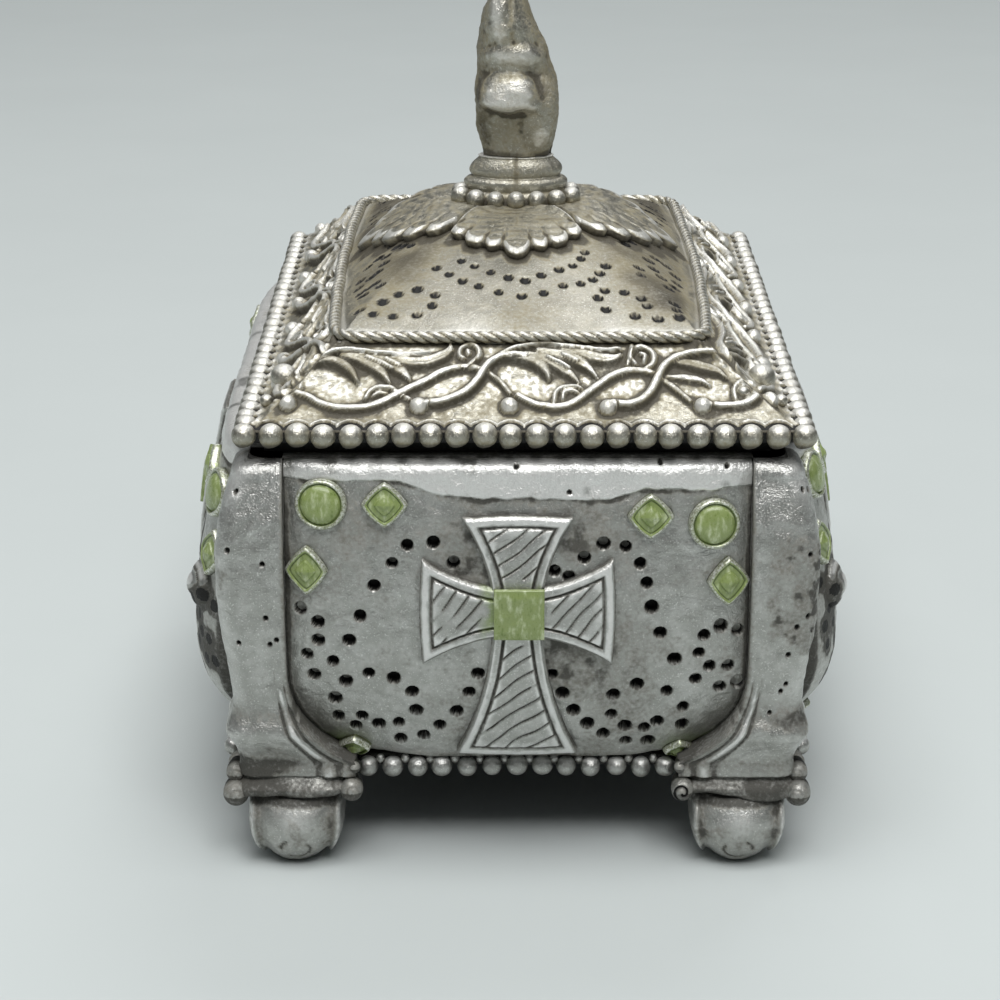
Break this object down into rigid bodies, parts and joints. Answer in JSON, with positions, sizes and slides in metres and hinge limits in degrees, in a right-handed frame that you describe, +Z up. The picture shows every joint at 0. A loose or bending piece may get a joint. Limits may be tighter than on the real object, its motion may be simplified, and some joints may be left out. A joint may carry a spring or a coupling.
{
  "type": "trinket box",
  "caption": "Footed rectangular trinket box with bulging panels, corner legs on scroll feet, cross and gem ornament, and a lift-off domed lid with a petalled finial.",
  "frame": {"origin": "on the table under the middle of the box, at the flat undersides of the feet", "axes": "+Z up along the way the lid lifts, the short ends face -Y and +Y, the long sides face -X and +X"},
  "size_m": [0.0954, 0.1156, 0.1185],
  "materials": {
    "silver_resin": "antiqued silver paint on cast resin, dark wash in the crevices",
    "warm_resin": "antiqued silver paint over a warm bronze wash on cast resin",
    "green_enamel": "glossy translucent green enamel in a silver bezel"
  },
  "bodies": {
    "box": {"box_body": "silver_resin", "corner_leg_front_left": "silver_resin", "corner_leg_front_right": "silver_resin", "corner_leg_back_right": "silver_resin", "corner_leg_back_left": "silver_resin", "scroll_foot_front_left": "silver_resin", "scroll_foot_front_right": "silver_resin", "scroll_foot_back_right": "silver_resin", "scroll_foot_back_left": "silver_resin", "beaded_apron_front": "silver_resin", "beaded_apron_right": "silver_resin", "beaded_apron_back": "silver_resin", "beaded_apron_left": "silver_resin", "cross_front": "silver_resin", "cross_stone_front": "green_enamel", "round_gem_front_left": "green_enamel", "diamond_gem_front_upper_left": "green_enamel", "diamond_gem_front_lower_left": "green_enamel", "round_gem_front_right": "green_enamel", "diamond_gem_front_upper_right": "green_enamel", "diamond_gem_front_lower_right": "green_enamel", "cross_right": "silver_resin", "cross_stone_right": "green_enamel", "round_gem_right_left": "green_enamel", "diamond_gem_right_upper_left": "green_enamel", "diamond_gem_right_lower_left": "green_enamel", "round_gem_right_right": "green_enamel", "diamond_gem_right_upper_right": "green_enamel", "diamond_gem_right_lower_right": "green_enamel", "cross_back": "silver_resin", "cross_stone_back": "green_enamel", "round_gem_back_left": "green_enamel", "diamond_gem_back_upper_left": "green_enamel", "diamond_gem_back_lower_left": "green_enamel", "round_gem_back_right": "green_enamel", "diamond_gem_back_upper_right": "green_enamel", "diamond_gem_back_lower_right": "green_enamel", "cross_left": "silver_resin", "cross_stone_left": "green_enamel", "round_gem_left_left": "green_enamel", "diamond_gem_left_upper_left": "green_enamel", "diamond_gem_left_lower_left": "green_enamel", "round_gem_left_right": "green_enamel", "diamond_gem_left_upper_right": "green_enamel", "diamond_gem_left_lower_right": "green_enamel"},
    "lid": {"lid_shell": "warm_resin", "lid_bead_rim": "warm_resin", "rope_border": "warm_resin", "finial_collar": "warm_resin", "finial": "warm_resin", "vine_border_front": "warm_resin", "vine_border_right": "warm_resin", "vine_border_back": "warm_resin", "vine_border_left": "warm_resin", "dome_leaf_front": "warm_resin", "dome_leaf_right": "warm_resin", "dome_leaf_back": "warm_resin", "dome_leaf_left": "warm_resin"}
  },
  "joints": [
    {"name": "lid_lift", "type": "slide", "parent": "box", "child": "lid", "axis": [0, 0, 1], "range_m": [0, 0.05]}
  ]
}
